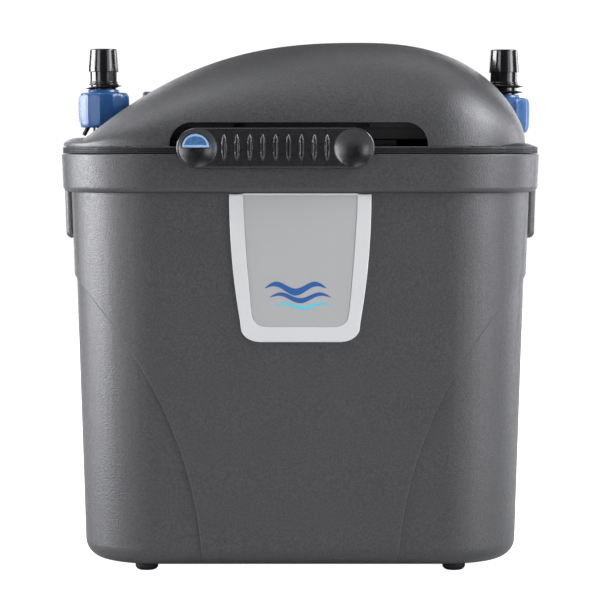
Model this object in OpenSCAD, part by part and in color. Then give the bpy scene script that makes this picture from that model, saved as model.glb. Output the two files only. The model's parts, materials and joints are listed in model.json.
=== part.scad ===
// Canister filter: a tub with two media baskets and a lift-off head that holds the
// pump, both hose ports and a sliding latch. Millimetres, Z up, front towards -Y.
// Origin: on the floor under the middle of the object.

/* [Canister] */
// Width over the rim band
rim_w = 210; // [208:1:212]
// Depth over the rim band
rim_d = 150; // [149:1:151]
// Plan radius of the rim's corners
rim_r = 42; // [38:1:44]
// Height of the rim's top edge above the floor
rim_top = 181; // [180:0.5:181.4]
// Height of the rim band
rim_h = 16.6; // [14:0.2:18]
// Depth of the two curved corner recesses
recess_t = 1; // [0.6:0.1:1.2]
// Radius of the curved edge of each recess
recess_r = 183; // [175:1:190]
// How far below the rim the side grips hang
grip_drop = 20.7; // [15:0.1:28]
// Wall thickness of the tub
wall = 2.6; // [2.4:0.1:2.8]

/* [Badge] */
// Width of the badge at its top edge
badge_w = 60.4; // [50:0.2:64]
// Height of the badge
badge_h = 63.2; // [50:0.2:66]
// Thickness of the pale border
badge_t = 1; // [0.8:0.1:1.2]

/* [Head] */
// Thickness of the head's flange
flange_t = 2.3; // [2:0.1:2.3]
// Height of the domed cover above the flange
dome_h = 46.9; // [45:0.1:50]
// Where the dome's highest point stands along X
dome_peak = 25; // [18:1:28]
// Wall thickness of the domed cover
dome_t = 2.2; // [2:0.1:2.4]
// Width of the latch recess at its foot
slot_w = 109.4; // [108:0.2:110]
// Height of the latch recess
slot_h = 10.4; // [10:0.1:10.8]

/* [Latch] */
// Length of the sliding handle
handle_w = 83.7; // [82:0.1:84]
// Height of the sliding handle
handle_h = 17.2; // [16:0.1:17.6]
// Thickness of the sliding handle
handle_t = 4.2; // [3.8:0.1:4.6]
// Number of grip ribs on the handle
ribs = 9; // [5:1:9]
// Distance from one rib to the next
rib_pitch = 5.43; // [5:0.01:5.5]
// Radius of the half-round lock button
button_r = 5.9; // [5.4:0.1:6]

/* [Hose ports] */
// X position of the inlet port
inlet_x = -89.8; // [-90:0.1:-89.6]
// X position of the outlet port
outlet_x = 93; // [92.8:0.1:93.1]
// Y position of both ports
port_y = 6; // [5:0.5:6]
// Outer radius of the union nuts
nut_r = 11.7; // [11.4:0.1:11.8]
// Height of the union nuts' ribbed skirt
nut_h = 15.8; // [15:0.1:16]
// Radius of the hose tail's widest ring, for hose of 12 mm bore
crest_r = 6.9; // [6.6:0.1:7]
// Bore radius of the hose tails
tail_bore = 4.8; // [4:0.1:5]

/* [Baskets] */
// Width of the lower basket
basket_w = 165; // [160:1:166]
// Depth of the lower basket
basket_d = 124; // [120:1:125]
// Height of each basket
basket_h = 72; // [68:1:73]
// Number of rows of slots in each basket floor
slot_rows = 9; // [5:1:11]

/* [Pump] */
// Radius of the rotor magnet
magnet_r = 9.6; // [9:0.1:9.8]
// Number of impeller blades
blades = 6; // [4:1:8]
// Radius of the impeller
impeller_r = 15.5; // [14:0.1:16]

/* [Hidden] */

e = 0.01;
draft = 0.0285;                       // slope of the tub's sides
draft_deg = atan(draft);
foot_h = 3.2;
foot_r = 5;
foot_x = 67;
foot_y = 54;
floor_t = 3.2;
bottom_r = 8;
tub_w0 = rim_w - 17.8;                // tub width at the floor of the tub
tub_d0 = rim_d - 16;
tub_r0 = 34;
rim_z = rim_top - rim_h;
cavity_w = rim_w - 14;
cavity_d = rim_d - 12.2;
cavity_r = 36;
cavity_z = 160;                       // the mouth is straight above this height
travel = 22;                          // latch travel
hook_y = 71;
hook_t = 1.6;
hook_w = 8;
hook_x = [-50, 20];
flange_z0 = rim_top + 0.7;
flange_z1 = flange_z0 + flange_t;
flange_w = rim_w - 1.6;
flange_d = rim_d - 1.6;
flange_r = rim_r - 0.8;
plug_w = cavity_w - 0.8;
plug_d = cavity_d - 0.8;
plug_r = cavity_r - 0.4;
plug_t = 2.4;
plug_z = 170;
seal_z = 173;
seal_h = 3.6;
cover_z = flange_z1 + 0.3;
dome_left = 124;                      // half-span of the arch left of its peak
dome_right = 74;
pocket_r = 17.5;                      // room for fingers round each union nut
screw_x = 82;
screw_y = 44;
pump_y = port_y;
can_r = 12.4;
can_top = 213;
chamber_r = 22;
chamber_z = 160.4;
chamber_roof = 176;
motor_r = 33;
motor_top = 217;
shaft_r = 1.5;
duct_z = 169;
duct_r = 6;
duct_bore = 4.4;
riser_x = inlet_x + 3.8;
riser_r = 7;
handle_x = -10.4;
handle_z = 183.5;
handle_y0 = -80;                      // front face of the handle
handle_y1 = handle_y0 + handle_t;
dish_r = 8.3;
dish_x = [-43.2, 22.4];
button_x = -44.2;
button_z = 183.7;
stem_z = 187;
basket_x = 7.5;
basket_r = 30;
lower_z = 9;
upper_z = lower_z + basket_h + 2;
basket_t = 1.8;
port_r = 9.2;
port_top = 205;
port_bore = 5;

dark = [0.30, 0.30, 0.31];
black = [0.06, 0.06, 0.065];
blue = [0.12, 0.24, 0.45];

// ---------- shared shapes ----------

// outline of a rectangle with round corners
function rr(w, d, r, n = 10) = [
    for (q = [0:3])
        for (i = [0:n])
            let (
                a = 90 * q + 90 * i / n,
                cx = (q == 0 || q == 3 ? 1 : -1) * (w / 2 - r),
                cy = (q < 2 ? 1 : -1) * (d / 2 - r)
            )
            [cx + r * cos(a), cy + r * sin(a)]
];

module plate(w, d, r, z0, z1) {
    translate([0, 0, z0])
        linear_extrude(z1 - z0)
            polygon(rr(w, d, r));
}

// stacked outlines [z, w, d, r] joined by straight walls
module loft(rings, n = 10) {
    m = 4 * (n + 1);
    k = len(rings);
    pts = [for (s = rings) for (p = rr(s[1], s[2], s[3], n)) [p[0], p[1], s[0]]];
    sides = [
        for (j = [0:k - 2])
            for (i = [0:m - 1])
                let (i2 = (i + 1) % m)
                [j * m + i, (j + 1) * m + i, (j + 1) * m + i2, j * m + i2]
    ];
    low = [[for (i = [0:m - 1]) i]];
    high = [[for (i = [m - 1:-1:0]) (k - 1) * m + i]];
    polyhedron(points = pts, faces = concat(low, sides, high));
}

module tube(r, r_in, z0, z1) {
    translate([0, 0, z0])
        difference() {
            cylinder(r = r, h = z1 - z0, $fn = 64);
            translate([0, 0, -1])
                cylinder(r = r_in, h = z1 - z0 + 2, $fn = 64);
        }
}

module rod(r, z0, z1) {
    translate([0, 0, z0])
        cylinder(r = r, h = z1 - z0, $fn = 48);
}

module box(x0, x1, y0, y1, z0, z1) {
    translate([x0, y0, z0])
        cube([x1 - x0, y1 - y0, z1 - z0]);
}

// a cylinder whose axis runs along Y
module rod_y(r, x, z, y0, y1) {
    translate([x, y1, z])
        rotate([90, 0, 0])
            cylinder(r = r, h = y1 - y0, $fn = 48);
}

// ---------- canister ----------

function tub_w(z) = tub_w0 + 2 * draft * (z - foot_h);
function tub_d(z) = tub_d0 + 2 * draft * (z - foot_h);
function tub_r(z) = tub_r0 + draft * (z - foot_h);

// rings of the tub's skin moved inwards by t, with a rounded bottom edge
function tub_rings(t, z0, z1, r) = concat(
    [for (a = [0:18:72])
        let (z = z0 + r * (1 - cos(a)), in = t + r * (1 - sin(a)))
        [z, tub_w(z) - 2 * in, tub_d(z) - 2 * in, tub_r(z) - in]],
    [[z0 + r, tub_w(z0 + r) - 2 * t, tub_d(z0 + r) - 2 * t, tub_r(z0 + r) - t],
     [z1, tub_w(z1) - 2 * t, tub_d(z1) - 2 * t, tub_r(z1) - t]]
);

module side_grip() {
    grip_z = rim_z - grip_drop;
    grip_x = rim_w / 2 - 0.8;
    grip_y = 31;
    difference() {
        union() {
            box(96, grip_x, -grip_y, grip_y, grip_z + 1.6, rim_z + 1);
            box(96, grip_x - 1.6, -grip_y, grip_y, grip_z, grip_z + 2);
            translate([grip_x - 1.6, grip_y, grip_z + 1.6])
                rotate([90, 0, 0])
                    cylinder(r = 1.6, h = 2 * grip_y, $fn = 32);
        }
        box(90, grip_x - 1.7, -grip_y + 2, grip_y - 2, grip_z - 1, rim_z);
    }
}

module canister() {
    color(dark)
        difference() {
            union() {
                loft(tub_rings(recess_t, foot_h, rim_z + 1, bottom_r));
                difference() {
                    loft(tub_rings(0, foot_h, rim_z + 1, bottom_r));
                    for (s = [-1, 1])
                        translate([s * 225, 200, -5])
                            rotate([90, 0, 0])
                                cylinder(r = recess_r, h = 400, $fn = 128);
                }
                plate(rim_w, rim_d, rim_r, rim_z, rim_top);
                side_grip();
                mirror([1, 0, 0])
                    side_grip();
            }
            loft(tub_rings(wall, foot_h + floor_t, cavity_z, bottom_r - 2));
            plate(cavity_w, cavity_d, cavity_r, cavity_z - 0.5, rim_top + 1);
            for (s = [-1, 1])
                for (x = hook_x)
                    hook_pocket(x, s * hook_y);
            for (x = [-foot_x, foot_x])
                for (y = [-foot_y, foot_y])
                    translate([x, y, 0])
                        rod(2.4, foot_h - 1, foot_h + 2.2);
        }
}

// pocket in the rim for one latch hook; the lug stands over its left end
module hook_pocket(x, y) {
    pocket_t = 2.2;
    box(x - 0.8, x + hook_w + travel + 1, y - pocket_t / 2, y + pocket_t / 2, rim_top - 9,
        rim_top + 1);
    box(x - 8, x + 1, y - pocket_t / 2, y + pocket_t / 2, rim_top - 9, rim_top - 5);
}

module badge_outline(w, h, inset) {
    shape = [[-0.5, 0], [-0.497, -0.32], [-0.475, -0.6], [-0.42, -0.9], [-0.385, -0.965],
        [-0.33, -1], [0.33, -1], [0.385, -0.965], [0.42, -0.9], [0.475, -0.6], [0.497, -0.32],
        [0.5, 0]];
    polygon([for (p = shape) [p[0] * (w - 2 * inset), p[1] * (h - inset)]]);
}

module on_front(z) {
    translate([0, -tub_d(z) / 2, z])
        rotate([90 + draft_deg, 0, 0])
            children();
}

module badge_frame() {
    color([0.82, 0.82, 0.83])
        on_front(rim_z - 0.4)
            translate([0, 0, 0.05])
                linear_extrude(badge_t)
                    difference() {
                        badge_outline(badge_w, badge_h, 0);
                        translate([0, 0.01])
                            badge_outline(badge_w, badge_h, 6);
                    }
}

module badge_plate() {
    color([0.69, 0.69, 0.7])
        on_front(rim_z - 0.4)
            translate([0, 0, 0.05])
                linear_extrude(badge_t - 0.3)
                    translate([0, -0.05])
                        badge_outline(badge_w, badge_h - 0.1, 6.05);
}

module foot() {
    rotate_extrude($fn = 64)
        polygon(concat(
            [[0, 0], [foot_r - 2, 0]],
            [for (a = [15:15:90]) [foot_r - 2 + 2 * sin(a), 2 - 2 * cos(a)]],
            [[foot_r, foot_h - 0.05], [2.35, foot_h - 0.05], [2.35, foot_h + 2.1],
             [0, foot_h + 2.1]]
        ));
}

module rubber_feet() {
    color(black)
        for (x = [-foot_x, foot_x])
            for (y = [-foot_y, foot_y])
                translate([x, y, 0])
                    foot();
}

// ---------- baskets and media ----------

module basket(z, w, d) {
    grid = 11;
    difference() {
        translate([basket_x, 0, 0])
            loft([[z, w - 3, d - 3, basket_r - 2], [z + basket_h, w, d, basket_r]]);
        translate([basket_x, 0, 0])
            loft([[z + basket_t, w - 3 - 2 * basket_t, d - 3 - 2 * basket_t, basket_r - 3.5],
                  [z + basket_h + e, w - 2 * basket_t, d - 2 * basket_t, basket_r - 1.5]]);
        for (i = [0:slot_rows - 1])
            for (k = [-1, 0, 1])
                translate([basket_x + (i - (slot_rows - 1) / 2) * grid, k * 33, z - 1])
                    translate([-3, -14, 0])
                        cube([6, 28, 4]);
    }
}

module lower_basket() {
    color([0.16, 0.16, 0.17])
        basket(lower_z, basket_w, basket_d);
}

module upper_basket() {
    color([0.16, 0.16, 0.17])
        basket(upper_z, basket_w + 3, basket_d + 3);
}

module pad(z0, z1, grow) {
    pad_w = basket_w - 9 + grow;
    pad_d = basket_d - 9 + grow;
    translate([basket_x, 0, 0])
        plate(pad_w, pad_d, basket_r - 7, z0, z1);
}

module coarse_foam() {
    color([0.08, 0.2, 0.42])
        pad(lower_z + basket_t + 0.2, lower_z + basket_h - 0.5, 0);
}

module fine_foam() {
    color([0.75, 0.75, 0.7])
        pad(upper_z + basket_t + 0.2, upper_z + 24, 3);
}

module bio_rings() {
    ring_r = 7;
    ring_h = 13;
    color([0.86, 0.82, 0.74])
        for (layer = [0:1])
            for (i = [0:8])
                for (k = [0:6])
                    translate([basket_x + (i - 4) * 16.2, (k - 3) * 16, upper_z + 24.5 + layer * 15])
                        tube(ring_r, 4, 0, ring_h);
}

// ---------- head ----------

module head_base() {
    color([0.2, 0.2, 0.21])
        difference() {
            union() {
                plate(flange_w, flange_d, flange_r, flange_z0, flange_z1);
                difference() {
                    plate(plug_w, plug_d, plug_r, plug_z, flange_z0 + 0.5);
                    plate(plug_w - 2 * plug_t, plug_d - 2 * plug_t, plug_r - plug_t, plug_z - 1,
                        flange_z0);
                }
                translate([0, pump_y, 0])
                    rod(chamber_r, chamber_z, flange_z0 + 0.5);
                for (a = [90, 210, 330])
                    translate([24 * cos(a), pump_y + 24 * sin(a), 0])
                        rod(3.6, chamber_z, flange_z0 + 0.5);
                translate([18, pump_y, duct_z])
                    rotate([0, 90, 0])
                        cylinder(r = duct_r, h = 70, $fn = 48);
                translate([88, pump_y, 0])
                    rod(duct_r + 0.6, duct_z - duct_r, flange_z0 + 0.5);
                translate([riser_x, port_y, 0])
                    rod(riser_r + 2, plug_z, flange_z0 + 0.5);
            }
            difference() {
                plate(plug_w + 2, plug_d + 2, plug_r + 1, seal_z, seal_z + seal_h);
                plate(plug_w - 2.6, plug_d - 2.6, plug_r - 1.3, seal_z - 1, seal_z + seal_h + 1);
            }
            translate([0, pump_y, 0]) {
                rod(chamber_r - 2.4, chamber_z - 1, chamber_roof);
                rod(11, chamber_roof - 1, flange_z1 + 1);
                for (a = [90, 210, 330])
                    translate([24 * cos(a), 24 * sin(a), 0])
                        rod(1.45, chamber_z - 1, chamber_z + 10);
            }
            translate([14, pump_y, duct_z])
                rotate([0, 90, 0])
                    cylinder(r = duct_bore, h = 74, $fn = 48);
            translate([88, pump_y, 0])
                rod(duct_bore, duct_z, flange_z0 - 1);
            translate([outlet_x, port_y, 0])
                rod(port_bore - 0.4, flange_z0 - 2, flange_z1 + 1);
            translate([inlet_x, port_y, 0])
                rod(port_bore - 0.4, flange_z0 - 1, flange_z1 + 1);
            translate([riser_x, port_y, 0])
                rod(riser_r + 0.1, plug_z - 1, flange_z0 - 0.5);
            for (s = [-1, 1])
                for (x = hook_x)
                    box(x - 0.6, x + hook_w + travel + 0.6, s * hook_y - 1.2, s * hook_y + 1.2,
                        flange_z0 - 1, flange_z1 + 1);
            for (x = [-screw_x, screw_x])
                for (y = [-screw_y, screw_y])
                    translate([x, y, 0])
                        rod(1.75, flange_z0 - 1, flange_z1 + 1);
        }
}

module head_seal() {
    color(black)
        difference() {
            plate(cavity_w - 0.1, cavity_d - 0.1, cavity_r - 0.05, seal_z + 0.2,
                seal_z + seal_h - 0.2);
            plate(plug_w - 2.4, plug_d - 2.4, plug_r - 1.2, seal_z - 1, seal_z + seal_h + 1);
        }
}

// dome: an arch along X that is highest right of the middle, rounded off to front and back
function arch(x) =
    x < dome_peak
    ? 1 - pow(min(1, (dome_peak - x) / dome_left), 2.5)
    : pow(1 - pow(min(1, (x - dome_peak) / dome_right), 2.5), 0.6);
function half_depth(x, r, y0, w0, w1) =
    x < -w0 + r ? y0 - r + sqrt(max(0, r * r - pow(-w0 + r - x, 2)))
    : x > w1 - r ? y0 - r + sqrt(max(0, r * r - pow(x - w1 + r, 2)))
    : y0;
function across(v) = pow(max(0, 1 - pow(abs(v), 3)), 0.45);
// v runs from -1 at the front edge to 1 at the back edge
function dome_z(x, v) =
    cover_z + 0.8
    + max(dome_h * arch(x) * across(v),
          3 * sqrt(max(0, 1 - pow(1 - min(1, (x + flange_w / 2) / 8), 2)))
            * pow(max(0, 1 - pow(abs(v), 8)), 0.5) * (x < 60 ? 1 : 0));

module dome(inset, drop, z_low) {
    nx = 44;
    nv = 26;
    x0 = -flange_w / 2 + inset;
    x1 = dome_peak + dome_right - inset;
    xs = [for (i = [0:nx]) let (t = i / nx) x0 + (x1 - x0) * (0.5 - 0.5 * cos(180 * t))];
    vs = [for (k = [0:nv]) -cos(180 * k / nv)];
    yb = [for (x = xs) half_depth(x, flange_r - inset, flange_d / 2 - inset, -x0, x1)];
    m = nv + 1;
    top = [for (i = [0:nx]) for (k = [0:nv])
        [xs[i], vs[k] * yb[i], max(dome_z(xs[i], vs[k]) - drop, z_low + 0.5)]];
    low = [for (i = [0:nx]) for (k = [0:nv]) [xs[i], vs[k] * yb[i], z_low]];
    n = (nx + 1) * m;
    up = [for (i = [0:nx - 1]) for (k = [0:nv - 1])
        let (a = i * m + k, b = (i + 1) * m + k)
        each [[a, a + 1, b + 1], [a, b + 1, b]]];
    down = [for (i = [0:nx - 1]) for (k = [0:nv - 1])
        let (a = n + i * m + k, b = n + (i + 1) * m + k)
        [a, b, b + 1, a + 1]];
    front = [for (i = [0:nx - 1]) let (a = i * m, b = (i + 1) * m) [a, b, n + b, n + a]];
    back = [for (i = [0:nx - 1])
        let (a = i * m + nv, b = (i + 1) * m + nv) [a, n + a, n + b, b]];
    left = [for (k = [0:nv - 1]) [k, n + k, n + k + 1, k + 1]];
    right = [for (k = [0:nv - 1])
        let (a = nx * m + k) [a, a + 1, n + a + 1, n + a]];
    polyhedron(points = concat(top, low), faces = concat(up, down, front, back, left, right));
}

// outline of the latch recess, seen from the front
module slot_outline(h) {
    foot = slot_w / 2;
    r = 9.4;
    polygon(concat(
        [[-foot, -2], [foot, -2]],
        [for (a = [0:15:90]) [foot - r + r * cos(a), h - r + r * sin(a)]],
        [for (a = [90:15:180]) [-foot + r + r * cos(a), h - r + r * sin(a)]]
    ));
}

module head_cover() {
    ledge_z = 208.8;
    high_z = 240;
    color(dark)
        difference() {
            union() {
                dome(0, 0, cover_z);
                box(-71, -58, -12, 26, cover_z, ledge_z);
            }
            difference() {
                union() {
                    dome(dome_t, dome_t, cover_z - 1);
                    box(-71 + dome_t, -58 - dome_t, -12 + dome_t, 26 - dome_t, cover_z - 1,
                        ledge_z - dome_t);
                }
                for (x = [inlet_x, outlet_x])
                    translate([x, port_y, 0])
                        rod(pocket_r + dome_t, cover_z - 2, high_z);
                for (x = [-screw_x, screw_x])
                    for (y = [-screw_y, screw_y])
                        translate([x, y, 0])
                            rod(4, cover_z - 2, high_z);
            }
            for (x = [inlet_x, outlet_x])
                translate([x, port_y, 0])
                    rod(pocket_r, cover_z - 2, high_z);
            box(-120, inlet_x, port_y - pocket_r, port_y + pocket_r, cover_z - 2, high_z);
            box(outlet_x, 120, port_y - pocket_r, port_y + pocket_r, cover_z - 2, high_z);
            translate([-0.7, -66, flange_z1])
                rotate([90, 0, 0])
                    linear_extrude(20)
                        slot_outline(slot_h);
            for (x = [-screw_x, screw_x])
                for (y = [-screw_y, screw_y])
                    translate([x, y, 0])
                        rod(1.3, cover_z - 2, cover_z + 6);
            rod_y(6.1, -52, 194, 60, 90);
        }
}

// plate that closes the latch recess at the back, on two feet outside the carriage's travel
module latch_backplate() {
    y0 = -64.6;
    y1 = -63;
    foot_z = flange_z1 + 0.05;
    color([0.08, 0.08, 0.085]) {
        box(-68, 68, y0, y1, 187.4, 192);
        box(-57, 57, y0, y1, 191, 197.5);
        box(-68, -64.4, y0, y1, foot_z, 188);
        box(64.4, 68, y0, y1, foot_z, 188);
    }
}

module latch_rail() {
    rail_z = flange_z1 + 8.4;
    color([0.12, 0.12, 0.125])
        difference() {
            union() {
                box(-58, 57, -68, -66.2, rail_z, rail_z + 3);
                box(-58, -55.4, -68, -66.2, flange_z1 + 0.05, rail_z + 1);
                box(54.2, 57, -68, -66.2, flange_z1 + 0.05, rail_z + 1);
            }
            box(-28.6, -23.4, -69, -65, rail_z - 1, rail_z + 1.6);
            box(24.3, 29.5, -69, -65, rail_z - 1, rail_z + 1.6);
        }
}

module pan_screw(r, head_r, head_h, length) {
    translate([0, 0, -head_h])
        difference() {
            cylinder(r = head_r, h = head_h, $fn = 40);
            translate([-head_r * 0.6, -0.35, -1])
                cube([head_r * 1.2, 0.7, 1.9]);
            translate([-0.35, -head_r * 0.6, -1])
                cube([0.7, head_r * 1.2, 1.9]);
        }
    translate([0, 0, -e])
        cylinder(r = r, h = length + e, $fn = 32);
}

module cover_screws() {
    color([0.7, 0.7, 0.72])
        for (x = [-screw_x, screw_x])
            for (y = [-screw_y, screw_y])
                translate([x, y, flange_z0 - 0.02])
                    pan_screw(1.25, 3.1, 1.9, 8);
}

module inlet_port() {
    neck_r = 5.8;
    color(black)
        translate([inlet_x, port_y, 0])
            difference() {
                union() {
                    rod(port_r, 195, port_top);
                    rod(neck_r, flange_z1 + 0.02, 196);
                    translate([0, 0, flange_z1 + 0.02])
                        cylinder(r1 = 8, r2 = neck_r, h = 2, $fn = 64);
                    // stop lever beside the neck
                    translate([-7, -2, 195.4])
                        rotate([0, 193, 0])
                            cylinder(r = 1.35, h = 8, $fn = 32);
                }
                rod(port_bore - 0.6, flange_z1 - 1, port_top + 1);
                tube(8.3, 6.3, port_top - 1.4, port_top + 1);
            }
}

module outlet_port() {
    color(black)
        translate([outlet_x, port_y, 0])
            difference() {
                union() {
                    rod(port_r, 192.6, port_top - 2.4);
                    rod(6.8, flange_z1 + 0.02, 193);
                    translate([0, 0, flange_z1 + 0.02])
                        cylinder(r1 = 8.6, r2 = 6.8, h = 2, $fn = 64);
                }
                rod(port_bore - 0.4, flange_z1 - 1, port_top + 1);
                tube(8.3, 6.3, port_top - 3.8, port_top + 1);
            }
}

module port_seals() {
    color([0.03, 0.03, 0.03]) {
        translate([inlet_x, port_y, 0])
            tube(8.2, 6.4, port_top - 1.38, port_top + 0.2);
        translate([outlet_x, port_y, 0])
            tube(8.2, 6.4, port_top - 3.78, port_top - 2.2);
    }
}

module intake_riser() {
    color([0.12, 0.12, 0.13])
        translate([riser_x, port_y, 0])
            difference() {
                tube(riser_r, riser_r - 1.6, 12, flange_z0 - 0.8);
                for (a = [0, 60, 120])
                    rotate([0, 0, a])
                        translate([-2, -10, 11])
                            cube([4, 20, 9]);
            }
}

module motor_housing() {
    color([0.14, 0.14, 0.15])
        translate([0, pump_y, 0])
            difference() {
                rod(motor_r, flange_z1 + 0.05, motor_top);
                rod(motor_r - 2, flange_z1 - 1, motor_top - 2);
            }
}

module stator_core() {
    core_z = 190;
    core_h = 14;
    color([0.45, 0.45, 0.47])
        translate([0, pump_y, core_z])
            difference() {
                linear_extrude(core_h)
                    difference() {
                        union() {
                            difference() {
                                square([48, 38], center = true);
                                square([36, 26], center = true);
                            }
                            square([40, 10], center = true);
                        }
                        circle(r = can_r + 0.3, $fn = 64);
                    }
                for (x = [-21, 21])
                    for (y = [-16, 16])
                        translate([x, y, -1])
                            cylinder(r = 1.4, h = core_h + 2, $fn = 24);
            }
}

module stator_coils() {
    color([0.62, 0.3, 0.14])
        for (s = [-1, 1])
            translate([s * 15.6, pump_y, 197])
                difference() {
                    cube([4, 25, 21], center = true);
                    cube([5, 10.4, 14.4], center = true);
                }
}

module rotor_can() {
    color([0.18, 0.18, 0.19])
        translate([0, pump_y, 0])
            difference() {
                union() {
                    rod(can_r, flange_z1 + 0.05, can_top);
                    rod(18, flange_z1 + 0.05, flange_z1 + 2);
                }
                rod(11, flange_z1 - 1, can_top - 2);
            }
}

module impeller_shaft() {
    color([0.85, 0.85, 0.82])
        translate([0, pump_y, 0])
            rod(shaft_r, chamber_z - 1, can_top - 2.1);
}

module shaft_bushes() {
    color(black)
        translate([0, pump_y, 0]) {
            tube(3.4, shaft_r + 0.02, can_top - 4.6, can_top - 2.02);
            tube(2.6, shaft_r + 0.02, chamber_z - 1, chamber_z + 1.2);
        }
}

module volute_cover() {
    plate_z = chamber_z - 2.4;
    color([0.2, 0.2, 0.21])
        translate([0, pump_y, 0])
            difference() {
                union() {
                    rod(chamber_r, plate_z, plate_z + 2.2);
                    for (a = [90, 210, 330])
                        translate([24 * cos(a), 24 * sin(a), 0])
                            rod(3.6, plate_z, plate_z + 2.2);
                    rod(3.8, plate_z, chamber_z + 1);
                }
                difference() {
                    rod(10, plate_z - 1, chamber_z + 2);
                    rod(3.8, plate_z - 1, chamber_z + 3);
                    for (a = [0, 60, 120])
                        rotate([0, 0, a])
                            box(-11, 11, -0.9, 0.9, plate_z - 1, chamber_z - 0.2);
                }
                rod(2.62, chamber_z - 1.02, chamber_z + 2);
                for (a = [90, 210, 330])
                    translate([24 * cos(a), 24 * sin(a), 0])
                        rod(1.45, plate_z - 1, chamber_z);
                tube(21.4, 20.2, chamber_z - 1.1, chamber_z + 1);
            }
}

module volute_seal() {
    color([0.03, 0.03, 0.03])
        translate([0, pump_y, 0])
            tube(21.3, 20.3, chamber_z - 1.08, chamber_z - 0.02);
}

module volute_screws() {
    color([0.7, 0.7, 0.72])
        for (a = [90, 210, 330])
            translate([24 * cos(a), pump_y + 24 * sin(a), chamber_z - 2.42])
                pan_screw(1.4, 2.8, 1.7, 11);
}

module cable_gland() {
    color(black)
        translate([-52, 0, 194])
            rotate([-90, 0, 0])
                difference() {
                    union() {
                        translate([0, 0, 66])
                            cylinder(r = 6, h = 12.6, $fn = 48);
                        translate([0, 0, 74.9])
                            cylinder(r = 8.4, h = 3.6, $fn = 6);
                    }
                    translate([0, 0, 60])
                        cylinder(r = 4, h = 30, $fn = 48);
                }
}

module gland_bush() {
    color([0.03, 0.03, 0.03])
        translate([-52, 0, 194])
            rotate([-90, 0, 0])
                difference() {
                    translate([0, 0, 67])
                        cylinder(r = 3.95, h = 11.9, $fn = 48);
                    translate([0, 0, 60])
                        cylinder(r = 2.8, h = 30, $fn = 48);
                }
}

// ---------- rotor ----------

module rotor_magnet() {
    color([0.2, 0.2, 0.22])
        translate([0, pump_y, 0])
            tube(magnet_r, shaft_r + 0.06, 187, 207);
}

module impeller() {
    color([0.88, 0.88, 0.86])
        translate([0, pump_y, 0])
            difference() {
                union() {
                    rod(4.2, chamber_z + 2.6, 187);
                    rod(impeller_r, 173, 174.6);
                    for (i = [0:blades - 1])
                        rotate([0, 0, i * 360 / blades])
                            box(3, impeller_r - 0.3, -0.7, 0.7, chamber_z + 2.6, 173.2);
                }
                rod(shaft_r + 0.06, chamber_z, 188);
            }
}

// ---------- latch ----------

module stadium(w, h) {
    n = 14;
    r = h / 2;
    polygon(concat(
        [for (i = [0:n]) let (a = -90 + 180 * i / n) [w / 2 - r + r * cos(a), r * sin(a)]],
        [for (i = [0:n]) let (a = 90 + 180 * i / n) [-w / 2 + r + r * cos(a), r * sin(a)]]
    ));
}

// lens-shaped grip rib with a groove down its middle
module rib(x) {
    lens_r = 12.1;
    offset_x = 10.65;
    translate([x, handle_y0 + 0.3, handle_z + 0.3])
        rotate([90, 0, 0])
            difference() {
                intersection() {
                    translate([-offset_x, 0, 0])
                        cylinder(r = lens_r, h = 0.9, $fn = 96);
                    translate([offset_x, 0, 0])
                        cylinder(r = lens_r, h = 0.9, $fn = 96);
                }
                translate([-0.3, -4.4, 0.45])
                    cube([0.6, 8.8, 1]);
            }
}

module latch_handle() {
    sphere_r = 19;
    color([0.1, 0.1, 0.105])
        difference() {
            union() {
                translate([handle_x, handle_y1, handle_z])
                    rotate([90, 0, 0])
                        linear_extrude(handle_t)
                            stadium(handle_w, handle_h);
                for (i = [0:ribs - 1])
                    rib(handle_x + (i - (ribs - 1) / 2) * rib_pitch);
                for (x = [-24, 8])
                    rod_y(1.75, x, stem_z, handle_y1 - 0.5, handle_y1 + 5);
            }
            for (x = dish_x)
                translate([x, handle_y0 - sqrt(sphere_r * sphere_r - dish_r * dish_r), handle_z])
                    sphere(r = sphere_r, $fn = 96);
            intersection() {
                rod_y(button_r + 0.25, button_x, button_z, handle_y0 - 1, handle_y1 + 1);
                box(button_x - 9, button_x + 9, handle_y0 - 2, handle_y1 + 2, button_z - 0.25,
                    button_z + 9);
            }
        }
}

module latch_carriage() {
    plate_z0 = flange_z1 + 0.4;
    plate_z1 = plate_z0 + 2.4;
    tongue_z1 = plate_z0 + 5.8;
    hook_z0 = rim_top - 8.4;
    color([0.13, 0.13, 0.135])
        difference() {
            union() {
                difference() {
                    box(-62, 41, -66, 69, plate_z0, plate_z1);
                    box(-56.5, 34.5, -58, 61, plate_z0 - 1, plate_z1 + 1);
                }
                box(-50, 28, handle_y1 + 0.02, -65, plate_z0, tongue_z1);
                for (x = hook_x) {
                    box(x, x + hook_w, -hook_y - hook_t / 2, -hook_y + hook_t / 2, hook_z0,
                        plate_z0 + 1);
                    box(x, x + hook_w, hook_y - hook_t / 2, hook_y + hook_t / 2, hook_z0,
                        plate_z0 + 1);
                    box(x, x + hook_w, 68, hook_y, plate_z0, plate_z1);
                }
            }
            for (x = [-24, 8])
                rod_y(1.85, x, stem_z, handle_y1 - 1, handle_y1 + 5.3);
            rod_y(1.9, button_x, stem_z, handle_y1 - 1, -60);
            rod_y(2.9, button_x, stem_z, handle_y1 - 1, -71);
            rod_y(2.9, button_x, stem_z, -70.2, -60);
            intersection() {
                rod_y(button_r + 0.25, button_x, button_z, handle_y1 - 1, -73.2);
                box(button_x - 9, button_x + 9, -90, -60, button_z - 0.25, button_z + 9);
            }
        }
}

module button_spring() {
    color([0.75, 0.75, 0.77])
        for (i = [0:2])
            translate([button_x, -72.8 + i * 0.75, stem_z])
                rotate([90, 0, 0])
                    rotate_extrude($fn = 48)
                        translate([2.4, 0])
                            circle(r = 0.25, $fn = 16);
}

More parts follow.
